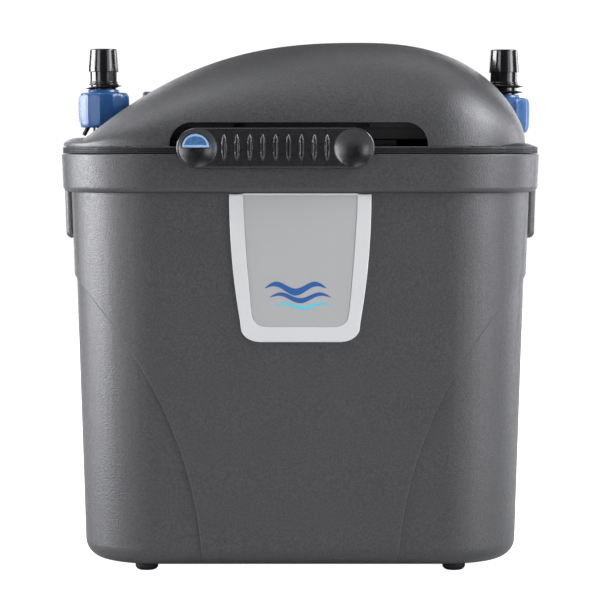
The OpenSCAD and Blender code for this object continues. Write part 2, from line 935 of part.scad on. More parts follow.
module lock_button() {
    front_y = handle_y0 + 1.1;
    color([0.25, 0.42, 0.62])
        union() {
            intersection() {
                rod_y(button_r, button_x, button_z, front_y, front_y + 1.9);
                box(button_x - 9, button_x + 9, -90, -60, button_z, button_z + 9);
            }
            rod_y(1.7, button_x, stem_z, front_y + 1.5, -68.8);
            rod_y(2.5, button_x, stem_z, -69.8, -68.8);
        }
}

// ---------- hose tails and union nuts ----------

// z is the underside of the tail's flange, crest that of its widest ring
module hose_tail(z, crest) {
    tip = crest + 10.4;
    difference() {
        union() {
            rod(8.6, z, z + 1.6);
            rod(5.8, z + 1, crest + 1);
            rod(6.6, crest - 6.1, crest - 4.3);
            rod(6.15, crest - 4.3, crest);
            rod(crest_r, crest, crest + 3);
            translate([0, 0, crest + 3 - e])
                cylinder(r1 = crest_r, r2 = 6.25, h = tip - crest - 3 - 0.6, $fn = 64);
            translate([0, 0, tip - 0.62])
                cylinder(r1 = 6.25, r2 = 5.75, h = 0.62, $fn = 64);
        }
        rod(tail_bore, z - 1, tip + 1);
    }
}

module stop_ring(r, z) {
    tube(r, 5.82, z, z + 0.8);
}

module union_nut(z) {
    flutes = 12;
    collar = 1.5;
    foot_r0 = nut_r - 1.4;
    difference() {
        rotate_extrude($fn = 96)
            polygon([
                [0, z], [foot_r0, z], [foot_r0 + 0.8, z + 1], [nut_r - 0.1, z + 5],
                [nut_r, z + 9], [nut_r - 0.1, z + nut_h - 1.6], [nut_r - 1.3, z + nut_h],
                [7.1, z + nut_h], [7.1, z + nut_h + collar], [0, z + nut_h + collar]
            ]);
        rod(port_r + 0.3, z - 1, z + nut_h - 1.4);
        rod(6.1, z, z + nut_h + 5);
        for (i = [0:flutes - 1])
            rotate([0, 0, i * 360 / flutes])
                translate([nut_r + 2.3, 0, z - 1])
                    cylinder(r = 2.75, h = nut_h + 2, $fn = 32);
    }
}

module inlet_hose_tail() {
    color(black)
        translate([inlet_x, port_y, 0])
            hose_tail(port_top + 0.4, 218.1);
}

module inlet_stop_ring() {
    color([0.03, 0.03, 0.03])
        translate([inlet_x, port_y, 0])
            stop_ring(8.3, 210.7);
}

module inlet_union_nut() {
    color(blue)
        translate([inlet_x, port_y, 0])
            union_nut(192.8);
}

module outlet_hose_tail() {
    color(black)
        translate([outlet_x, port_y, 0])
            hose_tail(port_top - 2, 217.8);
}

module outlet_stop_rings() {
    color([0.03, 0.03, 0.03])
        translate([outlet_x, port_y, 0]) {
            stop_ring(8.7, 208.5);
            stop_ring(8.7, 210.8);
        }
}

module outlet_union_nut() {
    color(blue)
        translate([outlet_x, port_y, 0])
            union_nut(190.4);
}

canister();
badge_frame();
badge_plate();
rubber_feet();
lower_basket();
coarse_foam();
upper_basket();
fine_foam();
bio_rings();
head_base();
head_seal();
head_cover();
latch_backplate();
latch_rail();
cover_screws();
inlet_port();
outlet_port();
port_seals();
intake_riser();
motor_housing();
stator_core();
stator_coils();
rotor_can();
impeller_shaft();
shaft_bushes();
volute_cover();
volute_seal();
volute_screws();
cable_gland();
gland_bush();
rotor_magnet();
impeller();
latch_handle();
latch_carriage();
button_spring();
lock_button();
inlet_hose_tail();
inlet_stop_ring();
inlet_union_nut();
outlet_hose_tail();
outlet_stop_rings();
outlet_union_nut();
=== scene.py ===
import json
import math

import bmesh
import bpy
from mathutils import Matrix, Vector, noise


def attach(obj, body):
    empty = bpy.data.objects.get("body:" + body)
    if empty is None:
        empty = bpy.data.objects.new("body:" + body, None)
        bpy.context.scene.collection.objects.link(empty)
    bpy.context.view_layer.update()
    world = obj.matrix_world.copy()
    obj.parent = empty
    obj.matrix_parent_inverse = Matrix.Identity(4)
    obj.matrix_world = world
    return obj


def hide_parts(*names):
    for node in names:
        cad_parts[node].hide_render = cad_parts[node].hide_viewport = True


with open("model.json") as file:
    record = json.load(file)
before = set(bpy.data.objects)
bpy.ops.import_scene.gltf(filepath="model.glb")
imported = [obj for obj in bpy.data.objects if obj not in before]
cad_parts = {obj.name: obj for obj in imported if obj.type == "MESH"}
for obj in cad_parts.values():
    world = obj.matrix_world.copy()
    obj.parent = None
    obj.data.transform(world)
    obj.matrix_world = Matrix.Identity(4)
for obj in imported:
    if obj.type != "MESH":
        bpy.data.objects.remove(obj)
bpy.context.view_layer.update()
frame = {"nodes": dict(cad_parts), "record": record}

scene = bpy.context.scene
MM = 0.001          # the shapes below are written in millimetres


# ---------- camera, floor and lights ----------

def make_camera():
    cam = bpy.data.cameras.new("camera")
    obj = bpy.data.objects.new("camera", cam)
    scene.collection.objects.link(obj)
    obj.location = (-0.00014, -1.05, 0.18395)
    obj.rotation_euler = (math.radians(90 - 3.803), 0, 0)
    cam.sensor_width = 36
    cam.lens = 138.12
    cam.clip_start = 0.02
    cam.clip_end = 20
    scene.camera = obj


SOFT_BOXES = {"low": (0.42, 0.6, 1.25), "mid": (0.55, 0.55, 1.3), "high": (0.6, 0.6, 1.3)}
LOWEST_LIGHT = 0.31     # keeps the low soft boxes clear of the floor


def studio_light(name, turn, rise, box, power):
    """A soft box aimed at the object: turn goes from the front to the right, both in degrees."""
    width, height, far = SOFT_BOXES[box]
    light = bpy.data.lights.new(name, "AREA")
    light.shape = "RECTANGLE"
    light.size, light.size_y = width, height
    light.energy = power
    light.color = (0.975, 0.98, 1.025)
    obj = bpy.data.objects.new(name, light)
    scene.collection.objects.link(obj)
    target = Vector((0, 0, 0.12))
    t, r = math.radians(turn), math.radians(rise)
    aim = Vector((math.sin(t) * math.cos(r), -math.cos(t) * math.cos(r), math.sin(r)))
    obj.location = target + aim * far
    obj.location.z = max(obj.location.z, LOWEST_LIGHT)
    obj.rotation_euler = (target - obj.location).to_track_quat("-Z", "Y").to_euler()
    obj.visible_camera = False


def make_world():
    world = bpy.data.worlds.new("studio")
    scene.world = world
    world.use_nodes = True
    tree = world.node_tree
    tree.nodes.clear()
    out = tree.nodes.new("ShaderNodeOutputWorld")
    seen = tree.nodes.new("ShaderNodeBackground")
    seen.inputs["Color"].default_value = (1, 1, 1, 1)
    seen.inputs["Strength"].default_value = 1.05
    lit = tree.nodes.new("ShaderNodeBackground")
    lit.inputs["Color"].default_value = (1, 1, 1, 1)
    lit.inputs["Strength"].default_value = 0.03
    path = tree.nodes.new("ShaderNodeLightPath")
    mix = tree.nodes.new("ShaderNodeMixShader")
    tree.links.new(path.outputs["Is Camera Ray"], mix.inputs["Fac"])
    tree.links.new(lit.outputs[0], mix.inputs[1])
    tree.links.new(seen.outputs[0], mix.inputs[2])
    tree.links.new(mix.outputs[0], out.inputs["Surface"])


def make_floor():
    mesh = bpy.data.meshes.new("floor")
    s = 6.0
    mesh.from_pydata([(-s, -s, 0), (s, -s, 0), (s, s, 0), (-s, s, 0)], [], [(0, 1, 2, 3)])
    obj = bpy.data.objects.new("floor", mesh)
    scene.collection.objects.link(obj)
    mat = bpy.data.materials.new("floor_white")
    mat.use_nodes = True
    tree = mat.node_tree
    tree.nodes.clear()
    out = tree.nodes.new("ShaderNodeOutputMaterial")
    matt = tree.nodes.new("ShaderNodeBsdfDiffuse")
    matt.inputs["Color"].default_value = (0.5, 0.5, 0.5, 1)
    glow = tree.nodes.new("ShaderNodeEmission")
    glow.inputs["Strength"].default_value = 1.0
    both = tree.nodes.new("ShaderNodeAddShader")
    path = tree.nodes.new("ShaderNodeLightPath")
    mix = tree.nodes.new("ShaderNodeMixShader")
    tree.links.new(matt.outputs[0], both.inputs[0])
    tree.links.new(glow.outputs[0], both.inputs[1])
    tree.links.new(path.outputs["Is Camera Ray"], mix.inputs["Fac"])
    tree.links.new(matt.outputs[0], mix.inputs[1])
    tree.links.new(both.outputs[0], mix.inputs[2])
    tree.links.new(mix.outputs[0], out.inputs["Surface"])
    mesh.materials.append(mat)


make_camera()
make_world()
make_floor()
LIGHTS = [
    # name, turn, rise, soft box, power in watts
    ("left_strip_back", -100, 8, "low", 14.4),
    ("left_strip", -80, 8, "low", 17.2),
    ("left_front", -40, 8, "low", 4.3),
    ("right_front", 40, 8, "low", 2.3),
    ("right_strip", 60, 8, "low", 9.2),
    ("right_back", 120, 8, "low", 6.0),
    ("back_right", 160, 8, "low", 3.5),
    ("back_left", -160, 8, "low", 3.0),
    ("right_mid", 75, 36, "mid", 25.8),
    ("back_left_mid", -135, 36, "mid", 2.7),
    ("front_high", -30, 64, "high", 2.6),
    ("left_high", -90, 64, "high", 5.8),
    ("back_high", 150, 64, "high", 2.1),
]
for light_row in LIGHTS:
    studio_light(*light_row)
scene.view_settings.view_transform = "Standard"
scene.view_settings.look = "None"


# ---------- materials ----------

def new_material(name):
    mat = bpy.data.materials.new(name)
    mat.use_nodes = True
    tree = mat.node_tree
    shader = tree.nodes["Principled BSDF"]
    coord = tree.nodes.new("ShaderNodeTexCoord")
    return mat, tree, shader, coord.outputs["Object"]


def noise_node(tree, vector, size_mm, detail=3.0, stretch=None):
    tex = tree.nodes.new("ShaderNodeTexNoise")
    tex.inputs["Scale"].default_value = 1000.0 / size_mm
    tex.inputs["Detail"].default_value = detail
    if stretch:
        mapping = tree.nodes.new("ShaderNodeMapping")
        mapping.inputs["Scale"].default_value = stretch
        tree.links.new(vector, mapping.inputs["Vector"])
        vector = mapping.outputs["Vector"]
    tree.links.new(vector, tex.inputs["Vector"])
    return tex.outputs["Fac"]


def two_tones(tree, factor, colour, spread):
    ramp = tree.nodes.new("ShaderNodeValToRGB")
    low = [c * (1 - spread) for c in colour] + [1]
    high = [c * (1 + spread) for c in colour] + [1]
    ramp.color_ramp.elements[0].position = 0.3
    ramp.color_ramp.elements[0].color = low
    ramp.color_ramp.elements[1].position = 0.7
    ramp.color_ramp.elements[1].color = high
    tree.links.new(factor, ramp.inputs["Fac"])
    return ramp.outputs["Color"]


def add_rough(tree, shader, vector, size_mm, rough, spread):
    fac = noise_node(tree, vector, size_mm)
    rng = tree.nodes.new("ShaderNodeMapRange")
    rng.inputs["From Min"].default_value = 0.3
    rng.inputs["From Max"].default_value = 0.7
    rng.inputs["To Min"].default_value = rough - spread
    rng.inputs["To Max"].default_value = rough + spread
    tree.links.new(fac, rng.inputs["Value"])
    tree.links.new(rng.outputs["Result"], shader.inputs["Roughness"])


def add_bump(tree, shader, height, strength, depth_mm):
    bump = tree.nodes.new("ShaderNodeBump")
    bump.inputs["Strength"].default_value = strength
    bump.inputs["Distance"].default_value = depth_mm * MM
    tree.links.new(height, bump.inputs["Height"])
    tree.links.new(bump.outputs["Normal"], shader.inputs["Normal"])


PATCH_MM = 22         # size of the faint patches in a plastic's colour


def plastic(name, colour, rough, grain=(0.45, 0.35, 0.04), mottle=0.05, specular=0.5):
    """grain is the surface texture: its size in mm, its strength and its depth in mm."""
    grain_mm, strength, depth_mm = grain
    mat, tree, shader, vector = new_material(name)
    patches = noise_node(tree, vector, PATCH_MM)
    specks = noise_node(tree, vector, grain_mm * 1.5, 2.0)
    blend = tree.nodes.new("ShaderNodeMix")
    blend.inputs["Factor"].default_value = 0.88
    tree.links.new(patches, blend.inputs["A"])
    tree.links.new(specks, blend.inputs["B"])
    tree.links.new(two_tones(tree, blend.outputs["Result"], colour, mottle),
                   shader.inputs["Base Color"])
    add_rough(tree, shader, vector, grain_mm * 4, rough, 0.05)
    add_bump(tree, shader, noise_node(tree, vector, grain_mm, 2.0), strength, depth_mm)
    shader.inputs["Specular IOR Level"].default_value = specular
    return mat


def metal(name, colour, rough, stretch, size_mm=1.0):
    mat, tree, shader, vector = new_material(name)
    lines = noise_node(tree, vector, size_mm, 4.0, stretch)
    tree.links.new(two_tones(tree, lines, colour, 0.18), shader.inputs["Base Color"])
    add_rough(tree, shader, vector, 2.0, rough, 0.06)
    add_bump(tree, shader, lines, 0.3, 0.03)
    shader.inputs["Metallic"].default_value = 1.0
    return mat


def foam(name, colour, pore_mm, spread):
    mat, tree, shader, vector = new_material(name)
    cells = tree.nodes.new("ShaderNodeTexVoronoi")
    cells.inputs["Scale"].default_value = 1000.0 / pore_mm
    tree.links.new(vector, cells.inputs["Vector"])
    tree.links.new(two_tones(tree, cells.outputs["Distance"], colour, spread),
                   shader.inputs["Base Color"])
    add_bump(tree, shader, cells.outputs["Distance"], 1.0, 0.8 * pore_mm)
    shader.inputs["Roughness"].default_value = 0.95
    shader.inputs["Specular IOR Level"].default_value = 0.15
    return mat


MATERIALS = {
    "tub_plastic": plastic("tub_plastic", (0.030, 0.030, 0.0308), 0.43, grain=(0.55, 1.0, 0.15),
                           mottle=0.36),
    "badge_pale": plastic("badge_pale", (0.452, 0.453, 0.446), 0.42, grain=(0.3, 0.12, 0.02),
                          mottle=0.02),
    "badge_grey": plastic("badge_grey", (0.294, 0.295, 0.290), 0.45, grain=(0.3, 0.12, 0.02),
                          mottle=0.02),
    "rubber": plastic("rubber", (0.006, 0.006, 0.0065), 0.65, grain=(0.7, 0.3, 0.05),
                      mottle=0.15, specular=0.25),
    "basket_plastic": plastic("basket_plastic", (0.022, 0.022, 0.024), 0.42),
    "coarse_foam": foam("coarse_foam", (0.02, 0.06, 0.17), 2.2, 0.7),
    "fine_foam": foam("fine_foam", (0.55, 0.55, 0.50), 0.9, 0.35),
    "ceramic_media": plastic("ceramic_media", (0.62, 0.55, 0.44), 0.85, grain=(0.8, 0.9, 0.2),
                             mottle=0.25),
    "head_plastic": plastic("head_plastic", (0.040, 0.040, 0.042), 0.42),
    "black_plastic": plastic("black_plastic", (0.009, 0.009, 0.0095), 0.5, specular=0.35),
    "steel": metal("steel", (0.62, 0.62, 0.64), 0.28, (1, 1, 8)),
    "gloss_black": plastic("gloss_black", (0.0065, 0.0065, 0.007), 0.16, grain=(1.2, 0.06, 0.02),
                           mottle=0.1),
    "lamination": metal("lamination", (0.34, 0.34, 0.36), 0.45, (0.05, 0.05, 2.2)),
    "copper": metal("copper", (0.66, 0.28, 0.13), 0.32, (1, 0.05, 2.5)),
    "shaft_ceramic": plastic("shaft_ceramic", (0.78, 0.78, 0.74), 0.2, grain=(0.4, 0.08, 0.02),
                             mottle=0.03),
    "magnet": plastic("magnet", (0.05, 0.05, 0.055), 0.38, grain=(0.5, 0.4, 0.05), mottle=0.2),
    "white_plastic": plastic("white_plastic", (0.74, 0.74, 0.71), 0.35, grain=(0.5, 0.15, 0.03),
                             mottle=0.03),
    "handle_plastic": plastic("handle_plastic", (0.008, 0.008, 0.0085), 0.3, grain=(0.5, 0.3, 0.03),
                              mottle=0.12, specular=0.5),
    "button_blue": plastic("button_blue", (0.035, 0.115, 0.25), 0.40, grain=(0.6, 0.8, 0.1),
                           mottle=0.6),
    "nut_blue": plastic("nut_blue", (0.012, 0.058, 0.165), 0.34, grain=(0.8, 0.15, 0.03),
                        mottle=0.08, specular=0.4),
}
LIP_PLASTIC = plastic("lip_plastic", (0.012, 0.012, 0.013), 0.5, grain=(0.6, 0.4, 0.05),
                      mottle=0.1, specular=0.2)
# painted highlight: a much lighter blue for the lock button's raised rim, standing in for light on
# its bevel
BUTTON_RIM_HIGHLIGHT = plastic("button_rim_highlight", (0.22, 0.36, 0.55), 0.35, grain=(0.5, 0.2, 0.03), mottle=0.06)
MARK_BLUE = plastic("mark_blue", (0.008, 0.07, 0.23), 0.4, grain=(0.4, 0.1, 0.01), mottle=0.06)
MARK_CYAN = plastic("mark_cyan", (0.06, 0.42, 0.50), 0.4, grain=(0.4, 0.1, 0.01), mottle=0.06)


# ---------- mesh helpers ----------

def mesh_object(name, verts, faces):
    mesh = bpy.data.meshes.new(name)
    mesh.from_pydata([Vector(v) * MM for v in verts], [], faces)
    obj = bpy.data.objects.new(name, mesh)
    scene.collection.objects.link(obj)
    bm = bmesh.new()
    bm.from_mesh(mesh)
    bmesh.ops.recalc_face_normals(bm, faces=bm.faces)
    bm.to_mesh(mesh)
    bm.free()
    return obj


def apply_modifiers(obj):
    graph = bpy.context.evaluated_depsgraph_get()
    mesh = bpy.data.meshes.new_from_object(obj.evaluated_get(graph))
    obj.modifiers.clear()
    old = obj.data
    obj.data = mesh
    bpy.data.meshes.remove(old)


def combine(obj, others, operation, solver="MANIFOLD"):
    for other in others:
        mod = obj.modifiers.new("combine", "BOOLEAN")
        mod.operation = operation
        mod.solver = solver
        mod.object = other
        apply_modifiers(obj)
        bpy.data.objects.remove(other)
    return obj


def cut(obj, *others):
    return combine(obj, others, "DIFFERENCE")


def join(obj, *others):
    return combine(obj, others, "UNION")


def bridge(loops, closed=False):
    """Quads between rows of vertex numbers, each row itself a closed ring."""
    faces = []
    rows = list(zip(loops, loops[1:]))
    if closed:
        rows.append((loops[-1], loops[0]))
    for a, b in rows:
        n = len(a)
        for i in range(n):
            j = (i + 1) % n
            faces.append((a[i], a[j], b[j], b[i]))
    return faces


def solid_of_rings(name, rings, closed=False):
    """rings are lists of points with one length; the ends are capped, or joined if closed."""
    verts = [p for row in rings for p in row]
    n = len(rings[0])
    loops = [list(range(k * n, (k + 1) * n)) for k in range(len(rings))]
    faces = bridge(loops, closed)
    if not closed:
        faces.append(tuple(loops[0]))
        faces.append(tuple(loops[-1]))
    return mesh_object(name, verts, faces)


def outline(w, d, r, n=14, side=3):
    """A rectangle with round corners, with a few points along its straight sides."""
    pts = []
    signs = ((1, 1), (-1, 1), (-1, -1), (1, -1))
    for q, (sx, sy) in enumerate(signs):
        for i in range(n + 1):
            a = math.pi / 2 * (q + i / n)
            pts.append((sx * (w / 2 - r) + r * math.cos(a), sy * (d / 2 - r) + r * math.sin(a)))
        nx, ny = signs[(q + 1) % 4]
        a = math.pi / 2 * (q + 1)
        end = (nx * (w / 2 - r) + r * math.cos(a), ny * (d / 2 - r) + r * math.sin(a))
        start = pts[-1]
        for k in range(1, side + 1):
            t = k / (side + 1)
            pts.append((start[0] + (end[0] - start[0]) * t, start[1] + (end[1] - start[1]) * t))
    return pts


def ring(z, w, d, r):
    return [(x, y, z) for x, y in outline(w, d, r)]


def prism(name, pts, z0, z1):
    """A straight upright solid on an outline of (x, y) points."""
    return solid_of_rings(name, [[(x, y, z) for x, y in pts] for z in (z0, z1)])


def prism_y(name, pts, y0, y1):
    """A straight solid along y on an outline of (x, z) points."""
    return solid_of_rings(name, [[(x, y, z) for x, z in pts] for y in (y0, y1)])


def circle(cx, cy, r, n):
    angles = [2 * math.pi * i / n for i in range(n)]
    return [(cx + r * math.cos(a), cy + r * math.sin(a)) for a in angles]


def block(name, x0, x1, y0, y1, z0, z1):
    return prism(name, [(x1, y1), (x0, y1), (x0, y0), (x1, y0)], z0, z1)


def rod(name, x, y, r, z0, z1, n=64):
    return prism(name, circle(x, y, r, n), z0, z1)


def rod_y(name, x, z, r, y0, y1, n=96):
    return prism_y(name, circle(x, z, r, n), y0, y1)


def lathe(name, profile, x, y, n=96, shape=None):
    """A closed profile of (radius, height) turned round a vertical axis."""
    rings = []
    for r, z in profile:
        row = []
        for i in range(n):
            a = 2 * math.pi * i / n
            rr = shape(r, z, a) if shape else r
            row.append((x + rr * math.cos(a), y + rr * math.sin(a), z))
        rings.append(row)
    return solid_of_rings(name, rings, closed=True)


def arc(cx, cz, r, a0, a1, n=5):
    """Profile points on a circle, with angles in degrees."""
    pts = []
    for i in range(n + 1):
        a = math.radians(a0 + (a1 - a0) * i / n)
        pts.append((cx + r * math.cos(a), cz + r * math.sin(a)))
    return pts


def bevel_edges(obj, width_mm, angle_deg, keep=None, segments=3, convex=False):
    """Rounds the edges sharper than an angle whose middle passes the keep test (in mm)."""
    bm = bmesh.new()
    bm.from_mesh(obj.data)
    bmesh.ops.remove_doubles(bm, verts=bm.verts, dist=0.01 * MM)
    bmesh.ops.dissolve_degenerate(bm, edges=bm.edges, dist=0.01 * MM)
    limit = math.radians(angle_deg)
    chosen = []
    for edge in bm.edges:
        if len(edge.link_faces) != 2 or edge.calc_face_angle(0) < limit:
            continue
        if convex and edge.calc_face_angle_signed(0) < 0:
            continue
        mid = (edge.verts[0].co + edge.verts[1].co) / 2 / MM
        if keep is None or keep(mid):
            chosen.append(edge)
    bmesh.ops.bevel(bm, geom=chosen, offset=width_mm * MM, offset_type="OFFSET",
                    segments=segments, profile=0.5, affect="EDGES", clamp_overlap=not convex)
    bm.to_mesh(obj.data)
    bm.free()


def smooth(obj, angle_deg=32):
    for poly in obj.data.polygons:
        poly.use_smooth = True
    obj.data.set_sharp_from_angle(angle=math.radians(angle_deg))
    mod = obj.modifiers.new("even_shading", "WEIGHTED_NORMAL")
    mod.keep_sharp = True


def place(obj, body, slot, *nodes, mat=None, angle=32):
    """Gives a piece its finish and its body, and hides the CAD nodes it stands for."""
    obj.data.materials.clear()
    obj.data.materials.append(mat or MATERIALS[slot])
    smooth(obj, angle)
    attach(obj, body)
    if nodes:
        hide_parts(*nodes)
    return obj


# ---------- canister ----------

DRAFT = 0.0285
FLOOR_Z = 3.2
RIM_TOP = 181.0
RIM_Z = 164.4
RIM_W, RIM_D, RIM_R = 210.0, 150.0, 42.0


def tub_w(z):
    return 192.2 + 2 * DRAFT * (z - FLOOR_Z)


def tub_d(z):
    return 134.0 + 2 * DRAFT * (z - FLOOR_Z)


def tub_r(z):
    return 34.0 + DRAFT * (z - FLOOR_Z)


def tub_ring(z, inset):
    return ring(z, tub_w(z) - 2 * inset, tub_d(z) - 2 * inset, tub_r(z) - inset)


def tub_skin(inset, z0, z1, r, steps=8):
    rings = []
    for k in range(steps):
        a = math.pi / 2 * k / steps
        z = z0 + r * (1 - math.cos(a))
        rings.append(tub_ring(z, inset + r * (1 - math.sin(a))))
    rings.append(tub_ring(z0 + r, inset))
    rings.append(tub_ring(z1, inset))
    return rings


def make_tub():
    rings = tub_skin(0, FLOOR_Z, RIM_Z, 8)
    # rim band: rounded lower edge, slight draft, small radius at the top edge
    edge = 2.6
    for k in range(9):
        a = math.pi / 2 * k / 8
        inset = 0.55 + edge * (1 - math.sin(a))
        rings.append(ring(RIM_Z + edge * (1 - math.cos(a)), RIM_W - 2 * inset,
                          RIM_D - 2 * inset, RIM_R - inset))
    top = 0.7
    for k in range(5):
        a = math.pi / 2 * k / 4
        inset = top * (1 - math.cos(a))
        rings.append(ring(RIM_TOP - top + top * math.sin(a), RIM_W - 2 * inset,
                          RIM_D - 2 * inset, RIM_R - inset))
    rings.append(ring(RIM_TOP, 196.8, 138.6, 36.4))
    rings.append(ring(RIM_TOP - 0.4, 196, 137.8, 36))
    rings.append(ring(160, 196, 137.8, 36))
    rings.append(tub_ring(157, 2.6))
    inner = tub_skin(2.6, FLOOR_Z + 3.2, 150, 6)
    rings += inner[::-1][1:]
    tub = solid_of_rings("tub", rings)
    for s in (-1, 1):
        disc = rod_y("disc", s * 225, -5, 183, -100, 100, 360)
        core = solid_of_rings("core", tub_skin(1.0, FLOOR_Z - 0.4, 150, 8))
        tub = cut(tub, cut(disc, core))
    pockets = []
    for y in (-71, 71):
        for x in (-50, 20):
            pockets.append(block("pocket", x - 0.8, x + 31, y - 1.1, y + 1.1, 172, 183))
            pockets.append(block("pocket", x - 8, x + 1, y - 1.1, y + 1.1, 172, 176))
    tub = cut(tub, *pockets)
    on_step = lambda p: p.z < 150 and abs(math.hypot(abs(p.x) - 225, p.z + 5) - 183) < 0.2
    bevel_edges(tub, 0.6, 30, on_step, 3, convex=True)
    place(tub, "canister", "tub_plastic", "canister", angle=38)
    return tub


def make_side_grip(s):
    """Pull-down lip under the rim, open from below for the fingertips."""
    z0, z1 = 143.7, 167.4
    x0, x1, lean = 96.0, 104.4, 0.6
    half, turn_r = 31.0, 2.6
    corner = [(math.pi / 2 * k / 6) for k in range(7)]
    ends = [(turn_r * (1 - math.cos(a)), turn_r * (1 - math.sin(a))) for a in corner]
    rows = []
    for y, back in ([(-half + a, b) for a, b in ends] + [(half - a, b) for a, b in ends[::-1]]):
        foot = x1 - lean - back
        low = min(back, 0.8)
        section = [(x0, z1), (x0, z0 + low)]
        section += [(x, z) for x, z in arc(foot - 2.6, z0 + 2.6 + low, 2.6, -90, 0, 8)]
        section += [(x1 - back, z1)]
        rows.append([(s * x, y, z) for x, z in section])
    grip = solid_of_rings("grip", rows)
    hollow = block("hollow", min(s * 90, s * 101.4), max(s * 90, s * 101.4),
                   -half + 5.5, half - 5.5, z0 - 2, 164.6)
    grip = cut(grip, hollow)
    for y0, y1 in ((-half - 1, -half + 3.4), (half - 3.4, half + 1)):
        end = block("end", min(s * 90, s * 99.7), max(s * 90, s * 99.7), y0, y1, z0 - 1, z1)
        grip = cut(grip, end)
    bevel_edges(grip, 0.35, 60, lambda p: p.z < z1 - 1)
    name = "side_grip_left" if s < 0 else "side_grip_right"
    grip.name = name
    return place(grip, "canister", "tub_plastic")


make_tub()
for side in (-1, 1):
    make_side_grip(side)


# ---------- badge ----------

BADGE_TOP = RIM_Z - 0.4
TILT = math.atan(DRAFT)


def on_front(x, y, out):
    """A point on the tub's front face: y is measured up the face from the badge's top."""
    s, c = math.sin(TILT), math.cos(TILT)
    return (x, -tub_d(BADGE_TOP) / 2 - s * y - c * out, BADGE_TOP + c * y - s * out)


def badge_half(width, curve, power, foot_x, foot_t, bottom_x, bottom_t, n=20, corner=8):
    """Right half of a badge outline from the top down, as (x, distance below the top)."""
    pts = []
    for i in range(n + 1):
        t = foot_t * i / n
        pts.append((width - curve * t ** power, t))
    pts[-1] = (foot_x, foot_t)
    for i in range(1, corner + 1):
        a = math.pi / 2 * i / corner
        pts.append((bottom_x + (foot_x - bottom_x) * math.cos(a),
                    foot_t + (bottom_t - foot_t) * math.sin(a)))
    return pts


def mirror_outline(half):
    return [(x, -t) for x, t in half] + [(-x, -t) for x, t in half[::-1]]


def offset_outline(pts, d):
    """Moves an outline inwards by d."""
    out = []
    n = len(pts)
    cx = sum(p[0] for p in pts) / n
    cy = sum(p[1] for p in pts) / n
    for i in range(n):
        ax, ay = pts[i - 1]
        bx, by = pts[(i + 1) % n]
        tx, ty = bx - ax, by - ay
        length = math.hypot(tx, ty) or 1
        nx, ny = -ty / length, tx / length
        if nx * (cx - pts[i][0]) + ny * (cy - pts[i][1]) < 0:
            nx, ny = -nx, -ny
        out.append((pts[i][0] + nx * d, pts[i][1] + ny * d))
    return out


def raised(pts, height):
    return [on_front(x, y, height) for x, y in pts]


def make_badge():
    outer = mirror_outline(badge_half(30.2, 0.00103, 2.1, 25.4, 57, 17, 63.2))
    inner = mirror_outline(badge_half(24.3, 0.01252, 1.43, 20.6, 51.5, 14.5, 56.7))
    rows = [raised(outer, 0.02), raised(outer, 0.7), raised(offset_outline(outer, 0.12), 0.95),
            raised(offset_outline(outer, 0.4), 1.05),
            raised(offset_outline(inner, -0.3), 1.05),
            raised(offset_outline(inner, -0.06), 0.95), raised(inner, 0.75),
            raised(inner, 0.02)]
    border = solid_of_rings("badge_border", rows, closed=True)
    place(border, "canister", "badge_pale", "badge_frame", angle=50)
    field = solid_of_rings("badge_field", [raised(offset_outline(inner, 0.05), 0.03),
                                           raised(offset_outline(inner, 0.05), 0.62),
                                           raised(offset_outline(inner, 0.2), 0.74)])
    place(field, "canister", "badge_grey", "badge_plate", angle=50)


def make_wave(name, x0, x1, y, amp, waves, width, mat):
    """One stroke of the wave emblem, thick in its middle and pointed at its ends."""
    n = 60
    upper, lower = [], []
    for i in range(n + 1):
        t = i / n
        x = x0 + (x1 - x0) * t
        mid = y + amp * math.sin(2 * math.pi * waves * t)
        half = width / 2 * max(0.04, math.sin(math.pi * t)) ** 0.6
        upper.append((x, mid + half))
        lower.append((x, mid - half))
    pts = upper + lower[::-1]
    wave = solid_of_rings(name, [raised(pts, 0.7), raised(pts, 0.80)])
    return place(wave, "canister", "badge_grey", mat=mat, angle=50)


make_badge()
make_wave("emblem_wave_upper", -15, 11, -40.0, 1.7, 1.5, 3.0, MARK_BLUE)
make_wave("emblem_wave_middle", -13, 13, -44.0, 1.4, 1.5, 2.2, MARK_BLUE)
make_wave("emblem_wave_lower", -11, 13, -47.6, 0.9, 1.5, 1.4, MARK_CYAN)


# ---------- head ----------

FLANGE_TOP = 184.0
COVER_Z = 184.3
INLET_X, OUTLET_X, PORT_Y = -89.8, 93.0, 6.0
PEAK_X, PEAK_H = 26.2, 45.5
LEFT_X, RIGHT_X = -104.2, 99.0
LEFT_SPAN, RIGHT_SPAN = 124, 74
HALF_D, END_R = 74.2, 41.2
SLOT_X = -0.7           # middle of the latch recess


def arch(x):
    if x < PEAK_X:
        return 1 - min(1, (PEAK_X - x) / LEFT_SPAN) ** 2.5
    return (1 - min(1, (x - PEAK_X) / RIGHT_SPAN) ** 2.5) ** 0.6


def half_depth(x, x0, x1, r, y0):
    if x < x0 + r:
        return y0 - r + math.sqrt(max(0, r * r - (x0 + r - x) ** 2))
    if x > x1 - r:
        return y0 - r + math.sqrt(max(0, r * r - (x - x1 + r) ** 2))
    return y0


def dome_z(x, v):
    across = max(0, 1 - abs(v) ** 3) ** 0.45
    lip = 0
    if x < 60:
        run = min(1, (x - LEFT_X) / 8)
        lip = 3 * math.sqrt(max(0, 1 - (1 - run) ** 2)) * max(0, 1 - abs(v) ** 8) ** 0.5
    return COVER_Z + 0.8 + max(PEAK_H * arch(x) * across, lip)


